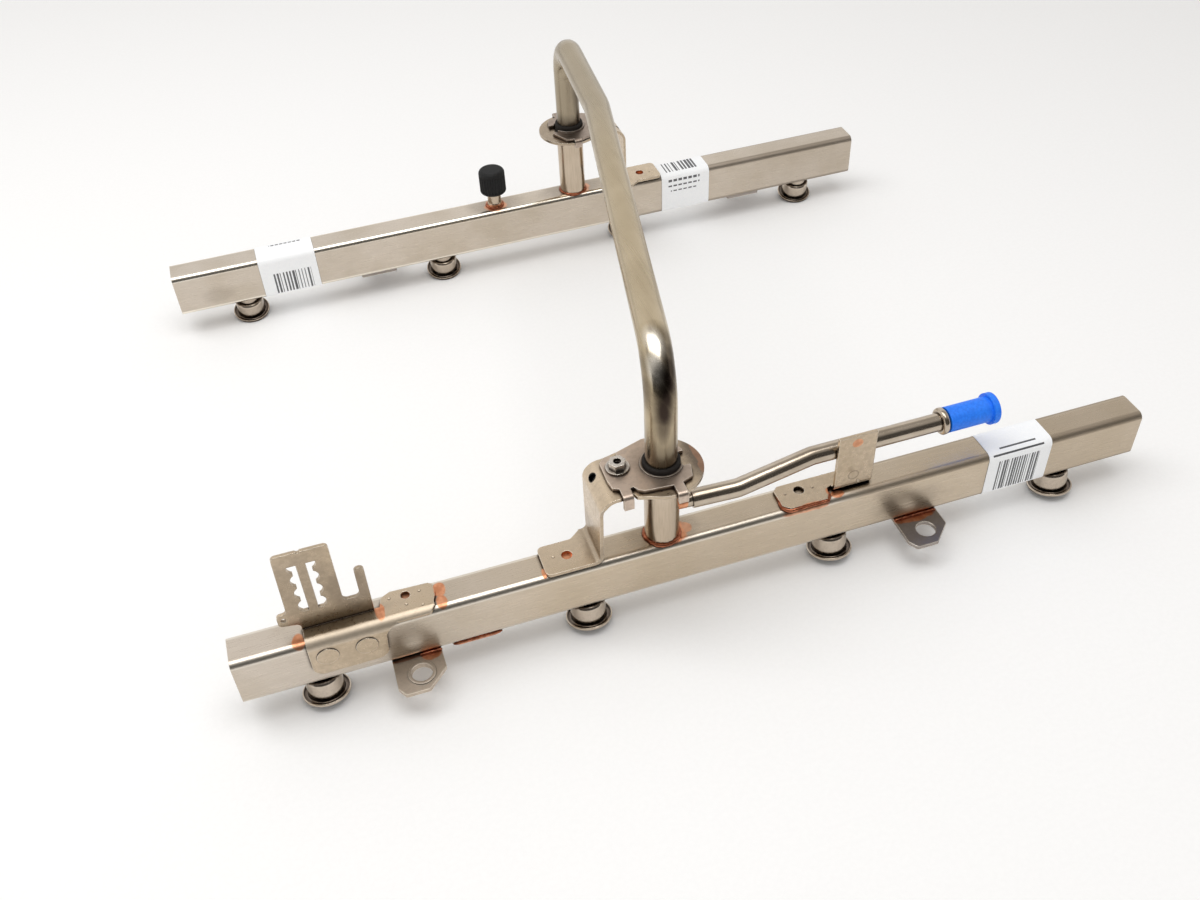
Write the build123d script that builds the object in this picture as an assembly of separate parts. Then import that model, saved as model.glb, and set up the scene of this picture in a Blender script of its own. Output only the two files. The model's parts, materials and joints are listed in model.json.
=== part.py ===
from build123d import *
from math import sin, cos, radians
import os

# Twin fuel rail for a V8: two rectangular rails with four injector cups each, joined by a
# crossover pipe. Millimetres, +Z up, the eight cup rims stand on Z = 0, the near rail is at -Y.

# --- injector cups -------------------------------------------------------------------------
cup_pitch = 111.76          # cylinder bore spacing, 4.40 in
cups_per_rail = 4
cup_tilt = 11.5             # degrees the cups lean outboard at the bottom
stem_r = 7.55               # outside of the drawn cup
cup_bore_r = 6.75           # seals on the injector O-ring
cup_rim_r = 9.9             # flared rim, its edge turned back up
cup_rim_h = 1.5
cup_rim_wall = 0.8
cup_rim_round = 0.7
cup_length = 12.7           # rail underside to the mouth, along the cup axis
cup_neck_r = 5.6            # spigot brazed into the rail
cup_neck_wall = 1.2
cup_shoulder = 2.3          # shoulder stands this far below the rail
cup_shoulder_round = 1.9
cup_deck = 1.2              # thickness over the bore
cup_lead = 0.9              # chamfer at the mouth

# --- rail tubes ----------------------------------------------------------------------------
rail_w = 16.0
rail_h = 24.2
rail_corner = 3.0
rail_wall = 1.4
rail_overhang = 31.0        # short end, past the first cup axis
rail_tail = 35.72           # long end, past the last cup axis
rail_spread = 272.0         # centre to centre of the two rails
end_cap_t = 2.0

# --- crossover pipe and its two sockets ----------------------------------------------------
pipe_r = 6.35               # 1/2 in tube
pipe_wall = 0.9
pipe_bend_r = 20.0
pipe_far_bend_r = 16.0
pipe_rise = 87.8            # rail top to the centre of the level run
pipe_depth = 16.0           # how far each leg drops inside its socket
kink_shift = 6.2            # kink, short of the far socket along the rails
kink_back = 75.0            # kink, in front of the far socket
socket_r = 7.15
socket_bore_r = 6.45
socket_floor = 1.5
near_socket_past_cup = 34.0 # past the second cup
far_socket_past_cup = 80.6  # past the same cup, along the far rail
socket_h = 36.2             # rail top to the underside of the bracket flange

# --- sheet brackets ------------------------------------------------------------------------
sheet = 1.5
flange_r = 16.7
tower_leg = 28.8            # socket axis back to the outside of the leg
tower_foot = 51.4           # socket axis back to the end of the foot
seal_r = 7.6
seal_h = 4.6
seal_round = 0.9
retainer_lip = 0.9          # raised ring round the seal
retainer_t = 1.6
hook_gap = 0.5              # hooks to the edge they hold
notch_depth = 1.6           # for the hook at the back of the flange
arm_front = 11.3            # socket axis to the front edge of the arm
bracket_hole_r = 2.3        # locating holes in the feet
screw_u = -16.8
screw_v = 3.6
screw_hole_r = 3.1
screw_gap = 0.6             # shank to its hole
screw_hex_r = 3.5
screw_socket_r = 1.6
screw_head_h = 2.8
screw_reach = 3.5           # below the flange
washer_r = 4.7
washer_t = 1.0
dart_depth = 1.6            # pressed into the upper bend of the tower

# --- bolt ears -----------------------------------------------------------------------------
ear_w = 20.0
ear_t = 1.8
ear_reach = 17.2            # past the rail's outboard face
ear_hole_r = 4.3
ear_hole_reach = 9.0
collar_r = 5.6
collar_h = 0.8
ear_past_cup = 38.0         # each ear of a rail, past its cup
pad_past_cup = 63.3
pad_w = 22.5
pad_t = 1.0
pad_round = 4.0

# --- clip bracket --------------------------------------------------------------------------
clip_left = -2.0            # its left edge, from the first cup axis
clip_w = 28.2
clip_h = 42.9
clip_post_h = 26.6
clip_bar_w = 3.6
clip_drop = 17.2            # down the front of the rail
clip_wing = 22.8
button_r = 4.3
button_t = 0.9

# --- inlet pipe ----------------------------------------------------------------------------
inlet_r = 3.97              # 5/16 in quick-connect tube
inlet_wall = 0.8
inlet_bend_r = 16.0
inlet_low_z = 16.0          # above the rail top, at the socket
inlet_high_z = 19.7         # above the rail top, over the standing bracket
inlet_in_v = 1.6            # the straight end runs this far inboard of the rail centre
inlet_neck_r = 3.2          # reduced end, brazed into the socket
inlet_neck_length = 5.4
inlet_dip = 32.2            # places along the pipe, past the socket axis
inlet_dip_v = -1.9
inlet_rise = 66.2
inlet_bead = 126.4
inlet_end = 146.2
inlet_bead_r = 5.9
inlet_bead_w = 3.0
inlet_foot_past = 51.8      # its bracket starts this far past the socket axis
inlet_foot_w = 24.0
inlet_plate_w = 17.2
inlet_plate_h = 29.6
dust_cap_r = 5.6
dust_cap_lip_r = 6.9
dust_cap_floor = 5.0
dust_cap_gap = 0.4          # behind the bead

# --- service port --------------------------------------------------------------------------
port_past_cup = 34.0          # past the far rail's second cup
port_thread_r = 5.5           # 7/16 in thread under the cap
port_thread_h = 6.4
port_neck_r = 3.8
port_foot_r = 4.6             # brazed foot on the rail
port_foot_h = 2.4
port_bore_r = 2.6
port_h = 16.0
port_cap_r = 7.3
port_cap_z = 8.8              # rail top to the open end of the cap
port_cap_h = 13.6

# --- labels --------------------------------------------------------------------------------
label_w = 31.0
label_t = 0.25
near_label_short = 41.3       # starts this far short of the last cup
far_label_past_cup_1 = 10.0
far_label_gap = 0.36          # between the far tower's foot and the second label
far_label_to_ear = 13.56      # between the second label and the far ear

# --- everything below follows from the sizes above ------------------------------------------
deg = cup_tilt
row_length = cup_pitch * (cups_per_rail - 1)
row_x = row_length / 2
rail_length = rail_overhang + row_length + rail_tail
near_y = -rail_spread / 2
rim_drop = cup_rim_round + (cup_rim_r - cup_rim_round) * sin(radians(deg))
rail_z = rim_drop + (cup_length - cup_rim_round) * cos(radians(deg))
rail_top = rail_z + rail_h
flange_top = rail_top + socket_h + sheet
pipe_z = rail_top + pipe_rise
near_socket_station = cup_pitch + near_socket_past_cup
far_socket_station = cup_pitch + far_socket_past_cup
port_station = cup_pitch + port_past_cup


def station(s):
    """X of a distance measured along the rails from the first cup axis."""
    return s - row_x


def far(shape):
    """The far rail's copy: the same thing turned half a turn."""
    return Rot(0, 0, 180) * shape


def tube(radius, wall, path):
    """Round tube swept along a path that starts at path @ 0."""
    ring = Plane(path @ 0, z_dir=path % 0) * (Circle(radius) - Circle(radius - wall))
    return sweep(ring, path=path)


def drum(radius, z0, z1):
    """Round bar on Z from z0 to z1."""
    return Pos(0, 0, z0) * extrude(Circle(radius), amount=z1 - z0)


def block(x0, x1, y0, y1, z0, z1):
    """Box from corner to corner."""
    box = Box(x1 - x0, y1 - y0, z1 - z0)
    return Pos((x0 + x1) / 2, (y0 + y1) / 2, (z0 + z1) / 2) * box


def slab(points, z0, z1):
    """Polygon in plan, from z0 to z1."""
    face = make_face(Polyline(*points, close=True))
    return Pos(0, 0, z0) * extrude(face, amount=z1 - z0, dir=(0, 0, 1))


# --- rails -----------------------------------------------------------------------------------
def cup_axis(i):
    """Plane on the near rail's underside, Z down the axis of cup i."""
    x = station(i * cup_pitch)
    return Location((x, near_y, rail_z)) * Rot(180 - deg, 0, 0)


def rounded(section, r, z, radius):
    """Rounds the corner of a turned section at radius r, height z."""
    corner = section.vertices().sort_by(lambda v: abs(v.X - r) + abs(v.Z - z))[0]
    return fillet(corner, radius)


def cup():
    """One injector cup along +Z, turned: spigot behind Z = 0, shoulder, stem and flared rim."""
    lip_r = cup_rim_r - cup_rim_wall
    feed_r = cup_neck_r - cup_neck_wall
    root = -rail_wall - cup_neck_wall
    flare = cup_length - cup_rim_wall
    lip = cup_length - cup_rim_h
    deck = cup_shoulder + cup_deck
    outside = [(feed_r, root), (cup_neck_r, root), (cup_neck_r, cup_shoulder), (stem_r, cup_shoulder),
               (stem_r, flare), (lip_r, flare), (lip_r, lip), (cup_rim_r, lip), (cup_rim_r, cup_length)]
    inside = [(cup_bore_r + cup_lead, cup_length), (cup_bore_r, cup_length - cup_lead),
              (cup_bore_r, deck), (feed_r, deck)]
    section = make_face(Plane.XZ * Polyline(*outside, *inside, close=True))
    section = rounded(section, stem_r, cup_shoulder, cup_shoulder_round)
    section = rounded(section, stem_r, flare, 0.7 * cup_rim_wall)
    section = rounded(section, lip_r, lip, 0.4 * cup_rim_wall)
    section = rounded(section, cup_rim_r, lip, 0.4 * cup_rim_wall)
    section = rounded(section, cup_rim_r, cup_length, cup_rim_round)
    return revolve(section, axis=Axis.Z)


def rail_section(inset):
    size = (rail_w - 2 * inset, rail_h - 2 * inset)
    return RectangleRounded(size[0], size[1], rail_corner - inset)


def rail_bar(inset, x0, x1):
    """Rounded bar along X, in the near rail's place."""
    section = Plane.YZ * rail_section(inset)
    bar = extrude(section, amount=x1 - x0)
    return Pos(x0, near_y, rail_z + rail_h / 2) * bar


near_x0 = station(-rail_overhang)
near_x1 = near_x0 + rail_length


def rail_tube(socket_station):
    """Near-rail tube with its cup holes and the hole under its socket."""
    tube_solid = rail_bar(0, near_x0, near_x1) - rail_bar(rail_wall, near_x0 - 1, near_x1 + 1)
    for i in range(cups_per_rail):
        tube_solid -= cup_axis(i) * drum(cup_neck_r, -8, 4)
    feed = drum(socket_bore_r - 1.0, rail_top - 6, rail_top + 2)
    return tube_solid - Pos(socket_station, near_y, 0) * feed


def end_cap(x0):
    return rail_bar(rail_wall, x0, x0 + end_cap_t)


near_tube = rail_tube(station(near_socket_station))
far_tube = far(rail_tube(-station(far_socket_station)))
far_tube -= Pos(station(port_station), -near_y, rail_top) * drum(port_bore_r, -6, 2)
parts = {"near_rail_tube": near_tube, "far_rail_tube": far_tube}
cap_a = end_cap(near_x0)
cap_b = end_cap(near_x1 - end_cap_t)
parts["near_rail_end_cap_1"] = cap_a
parts["near_rail_end_cap_2"] = cap_b
parts["far_rail_end_cap_1"] = far(cap_b)
parts["far_rail_end_cap_2"] = far(cap_a)
for n in range(cups_per_rail):
    placed = cup_axis(n) * cup()
    parts[f"near_injector_cup_{n + 1}"] = placed
    parts[f"far_injector_cup_{cups_per_rail - n}"] = far(placed)


# --- towers, built about a socket axis with the rail top at Z = 0 ------------------------------
def socket():
    body = drum(socket_r, 0, socket_h + sheet)
    bore = drum(socket_bore_r, socket_floor, socket_h + sheet + 1)
    feed = drum(socket_bore_r - 1.0, -1, socket_floor + 1)
    return body - bore - feed


def tower_masks():
    """Where the folded strip is kept: foot, leg and bends, arm with its round flange."""
    leg = -tower_leg
    end = -tower_foot
    back = FilletPolyline((leg - 16, 8.4), (leg - 8, 8.4), (leg - 3, 12.4), (leg, 12.4), radius=3.0)
    front = FilletPolyline((leg, -7.6), (end, -7.6), (end, 8.4), (leg - 16, 8.4), radius=2.4)
    foot = make_face([*back.edges(), *front.edges(), Line((leg, 12.4), (leg, -7.6))])
    foot = Pos(0, 0, -1) * extrude(foot, amount=4, dir=(0, 0, 1))
    side = [(-7.6, -1), (-7.2, 3), (-9.5, 29), (-11.4, 34), (-11.4, 50), (12.4, 50), (12.4, -1)]
    face = make_face(Plane.YZ * Polyline(*side, close=True))
    upright = Pos(leg - 0.5, 0, 0) * extrude(face, amount=9, dir=(1, 0, 0))
    upright += Pos(leg - 3.5, 0, sheet) * extrude(face, amount=9, dir=(1, 0, 0))
    arm = [(leg + 8, -11.4), (-19.6, -arm_front), (-19.4, -8.6), (-15.6, -9.4), (-14.2, -12.6),
           (-8, -14.6), (0, 0), (-8, 15.2), (leg + 8, 12.4)]
    arm = slab(arm, 30, 50) + drum(flange_r, 30, 50)
    return foot + upright + arm


def tower():
    """One folded sheet: foot on the rail, leg, bend, arm and round flange."""
    top = socket_h + sheet
    line = [(-tower_foot, sheet), (-tower_leg, sheet), (-tower_leg, top), (20, top)]
    low = FilletPolyline(line[0], line[1], (line[1][0], 18), radius=2.2)
    high = FilletPolyline((line[1][0], 18), line[2], line[3], radius=7.0)
    outline = offset(low + high, amount=sheet, side=Side.RIGHT, closed=True)
    body = extrude(make_face(Plane.XZ * outline), amount=25, both=True)
    body &= tower_masks()
    body -= drum(socket_r, socket_h - 2, top + 2)
    body -= block(-2.7, 1.9, flange_r - notch_depth, 20, 30, 50)
    body -= Pos(-tower_foot + 10.7, 0.5, 0) * drum(bracket_hole_r, -1, sheet + 1)
    bend = Pos(-tower_leg + 2, 5.8, top - 2) * Rot(0, -45, 0)
    body += bend * dart(sheet * 0.5, -dart_depth - sheet * 0.5, -sheet * 0.7)
    body -= bend * dart(0, -dart_depth, 3)
    return body - Pos(screw_u, screw_v, 0) * drum(screw_hole_r - 0.6, top - 3, top + 2)


def dart(margin, z0, z1):
    """Wedge of the dart pressed into the upper bend, narrow end uphill."""
    outline = Polyline((-1.4, 1.9), (-1.4, -1.9), (2.0, -0.8), (2.0, 0.6), close=True)
    face = make_face(offset(outline, amount=margin) if margin else outline)
    return Pos(0, 0, z0) * extrude(face, amount=z1 - z0, dir=(0, 0, 1))


def retainer():
    """Fork plate that slides over the pipe from the leg side and hooks the flange."""
    z0 = socket_h + sheet
    z1 = z0 + retainer_t
    edge = [(-22.6, 8.4), (-20.4, 11.0), (-17.4, 11.4), (-17.2, 9.6), (-15.2, 9.4), (-14.6, 12.2),
            (-2.9, 16.0), (5.6, 14.2), (10.4, 5.2), (10.4, -5.2), (9.0, -10.4), (4.4, -12.2),
            (0.3, -12.8), (-11.0, -11.8), (-13.2, -10.4), (-14.4, -8.2), (-15.8, -8.6),
            (-19.8, -7.6), (-22.2, -6.4), (-22.8, -2.0)]
    plate = slab(edge, z0, z1) + drum(seal_r + retainer_lip, z0, z1 + retainer_lip)
    plate -= drum(seal_r, z0 - 1, z1 + 2)
    plate -= block(4.6, 12, -4.0, 4.0, z0 - 1, z1 + 2)
    plate -= Pos(screw_u, screw_v, 0) * drum(screw_hole_r - 0.2, z0 - 1, z1 + 1)
    over = retainer_t + hook_gap
    plate += bent_tab(-19.8, -15.8, -7.6, -arm_front - over, 6.6)
    plate += bent_tab(0.4, 4.3, -11.8, -flange_r - over, 4.6)
    return plate + bent_tab(-2.4, 1.6, 12.6, flange_r - notch_depth + over, 4.6)


def bent_tab(u0, u1, v, reach, drop):
    """Tab of the retainer from v out to reach, bent down there by drop."""
    z1 = socket_h + sheet + retainer_t
    line = FilletPolyline((v, z1), (reach, z1), (reach, z1 - drop), radius=retainer_t + 0.8 * hook_gap)
    inside = Side.LEFT if reach < v else Side.RIGHT
    skin = make_face(Plane.YZ * offset(line, amount=retainer_t, side=inside, closed=True))
    return Pos(u0, 0, 0) * extrude(skin, amount=u1 - u0, dir=(1, 0, 0))


def seal():
    z0 = socket_h + sheet
    ring = drum(seal_r, z0, z0 + seal_h) - drum(pipe_r, z0 - 1, z0 + seal_h + 1)
    rim = ring.edges().filter_by(GeomType.CIRCLE).group_by(Axis.Z)[-1].sort_by(SortBy.RADIUS)[-1]
    return fillet(rim, seal_round)


def washer():
    z0 = socket_h + sheet + retainer_t
    ring = drum(washer_r, z0, z0 + washer_t) - drum(screw_hole_r - 0.2, z0 - 1, z0 + washer_t + 1)
    return Pos(screw_u, screw_v, 0) * ring


def screw():
    z0 = socket_h + sheet + retainer_t + washer_t
    head = extrude(RegularPolygon(screw_hex_r, 6), amount=screw_head_h)
    head = Pos(0, 0, z0) * head - drum(screw_socket_r, z0 + 1.2, z0 + screw_head_h + 1)
    shank = drum(screw_hole_r - screw_gap, socket_h - screw_reach, z0)
    return Pos(screw_u, screw_v, 0) * (head + shank)


def in_place(shape):
    near_at = Pos(station(near_socket_station), near_y, rail_top)
    far_at = Pos(station(far_socket_station), -near_y, rail_top)
    return near_at * shape, far_at * (Rot(0, 0, 180) * shape)


for name, shape in (("socket", socket()), ("tower_bracket", tower()), ("retainer_plate", retainer()),
                    ("pipe_seal", seal())):
    near_one, far_one = in_place(shape)
    parts[f"near_{name}"] = near_one
    parts[f"far_{name}"] = far_one
parts["retainer_screws"] = Compound(list(in_place(screw())))
parts["retainer_washers"] = Compound(list(in_place(washer())))


# --- crossover pipe ----------------------------------------------------------------------------
def crossover():
    leg_z = flange_top - pipe_depth
    a = (station(near_socket_station), near_y)
    b = (station(far_socket_station), -near_y)
    kink = (station(far_socket_station - kink_shift), -near_y - kink_back)
    mid = ((a[0] + kink[0]) / 2, (a[1] + kink[1]) / 2)
    first = FilletPolyline((*a, leg_z), (*a, pipe_z), (*mid, pipe_z), radius=pipe_bend_r)
    ahead = ((kink[0] + b[0]) / 2, (kink[1] + b[1]) / 2)
    second = FilletPolyline((*mid, pipe_z), (*kink, pipe_z), (*ahead, pipe_z), radius=45)
    third = FilletPolyline((*ahead, pipe_z), (*b, pipe_z), (*b, leg_z), radius=pipe_far_bend_r)
    return tube(pipe_r, pipe_wall, Wire([*first.edges(), *second.edges(), *third.edges()]))


parts["crossover_pipe"] = crossover()


# --- bolt ears and the pad under the near rail ---------------------------------------------------
def ear(collared):
    """Bolt tab brazed under the rail, X = 0 on its hole, Y = 0 on the rail centre, top at Z = 0."""
    out = -rail_w / 2
    h = ear_w / 2
    edge = [(-h, 5.5), (h, 5.5), (h, out - 8.8), (h - 8.4, out - ear_reach),
            (-h + 2.0, out - ear_reach), (-h - 0.5, out - ear_reach + 4.0)]
    outline = FilletPolyline(*edge, radius=1.2, close=True)
    plate = Pos(0, 0, -ear_t) * extrude(make_face(outline), amount=ear_t, dir=(0, 0, 1))
    if collared:
        plate += Pos(0, out - ear_hole_reach, 0) * drum(collar_r, 0, collar_h)
    return plate - Pos(0, out - ear_hole_reach, 0) * drum(ear_hole_r, -5, 5)


def ear_at(s, collared):
    return Pos(station(s), near_y, rail_z) * ear(collared)


parts["near_collared_ear"] = ear_at(ear_past_cup, True)
parts["near_plain_ear"] = ear_at(2 * cup_pitch + ear_past_cup, False)
parts["far_collared_ear"] = far(parts["near_collared_ear"])
parts["far_plain_ear"] = far(parts["near_plain_ear"])
pad = extrude(RectangleRounded(pad_w, rail_w - 1.0, pad_round), amount=pad_t)
parts["near_rail_pad"] = Pos(station(pad_past_cup), near_y, rail_z - pad_t) * pad


# --- clip bracket over the near rail ---------------------------------------------------------
def clip_slot(x_bar, side):
    """Toothed slot beside the middle bar: a straight bar edge and a scalloped outer edge."""
    cut = block(min(x_bar, x_bar + side * 1.9), max(x_bar, x_bar + side * 1.9), -9, 9, 11.2, 36.4)
    for k in range(4):
        tooth = Pos(x_bar, 0, 14.2 + 7.1 * k) * Rot(90, 0, 0) * Cylinder(3.6, 18)
        tooth &= block(min(x_bar, x_bar + side * 9), max(x_bar, x_bar + side * 9), -9, 9, 11.2, 36.4)
        cut += tooth
    return cut


def clip_upright():
    """Standing comb plate, its front face on Y = 0, rail top at Z = 0."""
    left = clip_left
    right = clip_left + clip_w
    edge = [(left, sheet), (left, 4.6), (left - 7.9, 5.8), (left - 7.9, 11.8), (left - 3.8, 11.8),
            (left - 3.2, clip_h), (right - 10.4, clip_h), (right - 10.3, 11.4), (right - 3.8, 11.4),
            (right - 3.8, clip_post_h), (right, clip_post_h), (right, sheet)]
    outline = FilletPolyline(*edge, radius=1.85, close=True)
    plate = extrude(make_face(Plane.XZ * outline), amount=sheet, dir=(0, 1, 0))
    plate += block(left, right, 0, sheet, 0.5, 5.0)
    plate -= clip_slot(4.6 - clip_bar_w / 2, -1)
    plate -= clip_slot(4.6 + clip_bar_w / 2, 1)
    plate -= Pos(left - 5.6, 0, 9.0) * Rot(90, 0, 0) * Cylinder(1.0, 8)
    return plate - Pos(4.8, 0, clip_h + 0.3) * Rot(90, 0, 0) * Cylinder(0.9, 8)


def clip_saddle():
    """The part wrapped over the rail's top and front face, with its wing."""
    half = rail_w / 2
    left = clip_left
    right = clip_left + clip_w
    line = FilletPolyline((0.0, 0.0), (-half, 0.0), (-half, -clip_drop), radius=rail_corner)
    skin = make_face(Plane.YZ * offset(line, amount=sheet, side=Side.RIGHT, closed=True))
    front = Pos(left, 0, 0) * extrude(skin, amount=60, dir=(1, 0, 0))
    low = FilletPolyline((left, 3.0), (left, -clip_drop), (right + 1.4, -clip_drop), (right + 2.2, -5.4),
                         radius=4.6)
    neck = RadiusArc((right + 2.2, -5.4), (right + 7.2, -0.9), 5.2)
    rest = Polyline((right + 7.2, -0.9), (right + 30, -0.9), (right + 30, 3.0), (left, 3.0))
    mask = Plane.XZ * make_face([*low.edges(), *neck.edges(), *rest.edges()])
    front &= extrude(mask, amount=30, both=True)
    wing_end = right + clip_wing
    front &= slab([(left - 0.1, -20), (left - 0.1, 1), (wing_end, 1), (wing_end, -6.0),
                   (wing_end - 2.2, -8.4), (right + 7.2, -8.4), (right + 7.2, -20)], -30, 5)
    wing = [(right, -4.6), (wing_end - 0.2, -4.6), (wing_end + 1.6, 0.4), (wing_end + 1.2, 4.8),
            (wing_end - 0.4, 5.8), (right + 7.2, 6.4), (right + 4.8, 5.2), (right + 3.2, 4.2),
            (right + 2.0, -0.6), (right, -0.6)]
    flat = slab(wing, 0, sheet) - Pos(right + 12.8, 2.6, 0) * drum(1.9, -1, sheet + 1)
    for x in (left + 6.9, right - 6.0):
        front += Pos(x, -half - sheet, -7.2) * Rot(90, 0, 0) * Cylinder(button_r, button_t)
    return front + flat


def clip_bracket():
    upright = Pos(0, -0.5, 0) * clip_upright()
    corner = block(clip_left, clip_left + clip_w, -0.5, -0.5 + sheet, 0, sheet + 0.1)
    body = clip_saddle() + upright + corner
    return Pos(station(0), near_y, rail_top) * body


parts["clip_bracket"] = clip_bracket()


# --- inlet pipe, its bracket and its dust cap --------------------------------------------------
inlet_x0 = station(near_socket_station)
inlet_y1 = near_y + inlet_in_v
inlet_z1 = rail_top + inlet_high_z


def on_inlet(x, shape):
    """A shape turned about +Z, laid along the straight end of the inlet pipe."""
    return Pos(x, inlet_y1, inlet_z1) * Rot(0, 90, 0) * shape


def inlet():
    """Pipe with a reduced end that enters the socket, a bead for the hose and an open end."""
    z0 = rail_top + inlet_low_z
    reach = socket_r + inlet_neck_length
    root = Vector(inlet_x0, near_y, z0)
    dip = Vector(inlet_x0 + inlet_dip, near_y + inlet_dip_v, z0 + 0.4)
    path = FilletPolyline(root + (dip - root).normalized() * reach, dip,
                          (inlet_x0 + inlet_rise, inlet_y1, inlet_z1),
                          (inlet_x0 + inlet_end, inlet_y1, inlet_z1), radius=inlet_bend_r)
    neck = drum(inlet_neck_r, -reach, 0.5) + drum(inlet_r, 0, inlet_wall)
    neck -= drum(inlet_neck_r - inlet_wall, -reach - 1, 2)
    body = tube(inlet_r, inlet_wall, path) + Plane(path @ 0, z_dir=path % 0) * neck
    half = inlet_bead_w / 2
    bead = drum(inlet_bead_r, -half, half) - drum(inlet_r - inlet_wall, -half - 1, half + 1)
    bead = fillet(bead.edges().filter_by(GeomType.CIRCLE).sort_by(SortBy.RADIUS)[-2:], 0.86 * half)
    body += on_inlet(inlet_x0 + inlet_bead, bead)
    return body - Pos(inlet_x0, near_y, rail_top) * drum(socket_r, 0, socket_h)


def dust_cap():
    back = inlet_bead + inlet_bead_w / 2 + dust_cap_gap
    length = inlet_end + dust_cap_floor - back
    body = drum(dust_cap_r, 0, length) + drum(dust_cap_lip_r, length - 3.2, length)
    body = fillet(body.edges().filter_by(GeomType.CIRCLE).group_by(Axis.Z)[-1], 0.8)
    return on_inlet(inlet_x0 + back, body - drum(inlet_r, -1, inlet_end - back))


def inlet_bracket():
    """Foot on the rail with its front edge folded up into a plate in front of the pipe."""
    front = inlet_in_v - inlet_r - sheet
    back = rail_w / 2 - 1.6
    end = inlet_foot_w
    line = FilletPolyline((front, inlet_plate_h), (front, 0.0), (back, 0.0), radius=3.0)
    skin = make_face(Plane.YZ * offset(line, amount=sheet, side=Side.LEFT, closed=True))
    fold = Pos(end, 0, 0) * extrude(skin, amount=inlet_plate_w, dir=(1, 0, 0))
    foot = [(0, 4.4), (2.2, back), (end + 0.4, back), (end + 0.4, -0.6), (end - 2.2, -1.6),
            (end - 3.0, -4.8), (end - 4.6, -7.4), (2.8, -7.4), (0, -5.0)]
    body = fold + slab(foot, 0, sheet) - Pos(10.2, 1.3, 0) * drum(bracket_hole_r, -1, sheet + 1)
    return Pos(inlet_x0 + inlet_foot_past, near_y, rail_top) * body


parts["inlet_pipe"] = inlet()
parts["inlet_dust_cap"] = dust_cap()
parts["inlet_bracket"] = inlet_bracket()


# --- service port on the far rail ----------------------------------------------------------------
def port_at(shape):
    return Pos(station(port_station), -near_y, rail_top) * shape


def port_body():
    body = drum(port_neck_r, 0, port_h) + drum(port_thread_r, port_h - port_thread_h, port_h)
    body += Pos(0, 0, port_foot_h / 2) * Cone(port_foot_r, port_neck_r, port_foot_h)
    return body - drum(port_bore_r, -1, port_h + 1)


def port_core():
    return drum(port_bore_r, port_h - 9, port_h - 1) + drum(1.0, port_h - 1, port_h + 1.2)


def port_cap():
    z1 = port_cap_z + port_cap_h
    body = drum(port_cap_r, port_cap_z, z1)
    body = fillet(body.edges().group_by(Axis.Z)[-1], 2.2)
    body = fillet(body.edges().group_by(Axis.Z)[0], 0.8)
    grip = Pos(port_cap_r + 0.35, 0, 0) * drum(0.85, port_cap_z + 1.3, z1 - 2.4)
    for k in range(24):
        body -= Rot(0, 0, 15 * k) * grip
    return body - drum(port_thread_r, port_cap_z - 1, port_h + 1.6)


parts["service_port_body"] = port_at(port_body())
parts["service_port_core"] = port_at(port_core())
parts["service_port_cap"] = port_at(port_cap())


# --- labels ----------------------------------------------------------------------------------------
def label(s0, width):
    """Paper band wrapped once round the near rail."""
    x0 = station(s0)
    return rail_bar(-label_t, x0, x0 + width) - rail_bar(0, x0 - 1, x0 + width + 1)


def far_label(s0, width):
    return far(label(row_length - s0 - width, width))


parts["near_rail_label"] = label(row_length - near_label_short, label_w)
parts["far_rail_label_1"] = far_label(far_label_past_cup_1, label_w)
far_foot_end = far_socket_station + tower_foot
far_ear_start = row_length - ear_past_cup - ear_w / 2
label_2_start = far_foot_end + far_label_gap
label_2_end = far_ear_start - far_label_to_ear
parts["far_rail_label_2"] = far_label(label_2_start, label_2_end - label_2_start)

os.makedirs("parts", exist_ok=True)
for name, shape in parts.items():
    export_step(shape, f"parts/{name}.step")
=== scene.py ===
import bpy
import bmesh
import json
from math import cos, pi, radians, sin
from mathutils import Matrix, Vector

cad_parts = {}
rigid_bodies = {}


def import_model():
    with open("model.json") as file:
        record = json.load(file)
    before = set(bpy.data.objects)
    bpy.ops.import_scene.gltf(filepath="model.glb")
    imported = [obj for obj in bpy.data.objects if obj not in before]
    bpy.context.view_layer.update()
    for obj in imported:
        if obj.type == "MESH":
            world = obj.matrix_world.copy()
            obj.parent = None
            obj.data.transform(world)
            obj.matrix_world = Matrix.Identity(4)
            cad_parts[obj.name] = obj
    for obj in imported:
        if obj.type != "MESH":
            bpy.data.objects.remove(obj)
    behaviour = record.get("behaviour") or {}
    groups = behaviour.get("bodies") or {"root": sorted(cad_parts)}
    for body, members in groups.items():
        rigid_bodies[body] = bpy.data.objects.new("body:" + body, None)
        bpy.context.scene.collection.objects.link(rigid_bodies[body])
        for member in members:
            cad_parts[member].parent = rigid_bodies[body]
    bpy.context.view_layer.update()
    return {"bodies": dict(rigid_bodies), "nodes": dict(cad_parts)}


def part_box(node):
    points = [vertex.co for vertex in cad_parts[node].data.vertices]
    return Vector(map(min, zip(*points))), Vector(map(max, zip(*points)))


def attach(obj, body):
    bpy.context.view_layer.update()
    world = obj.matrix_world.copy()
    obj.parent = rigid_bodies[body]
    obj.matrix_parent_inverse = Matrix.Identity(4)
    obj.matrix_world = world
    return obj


# Twin fuel rail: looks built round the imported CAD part. Metres, +Z up, near rail at -Y.

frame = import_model()
MM = 0.001


# --- places, read from the frame -----------------------------------------------------------------
def corner(node, side):
    return Vector(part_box(node)[side])


def middle(node):
    return (corner(node, 0) + corner(node, 1)) / 2


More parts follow.
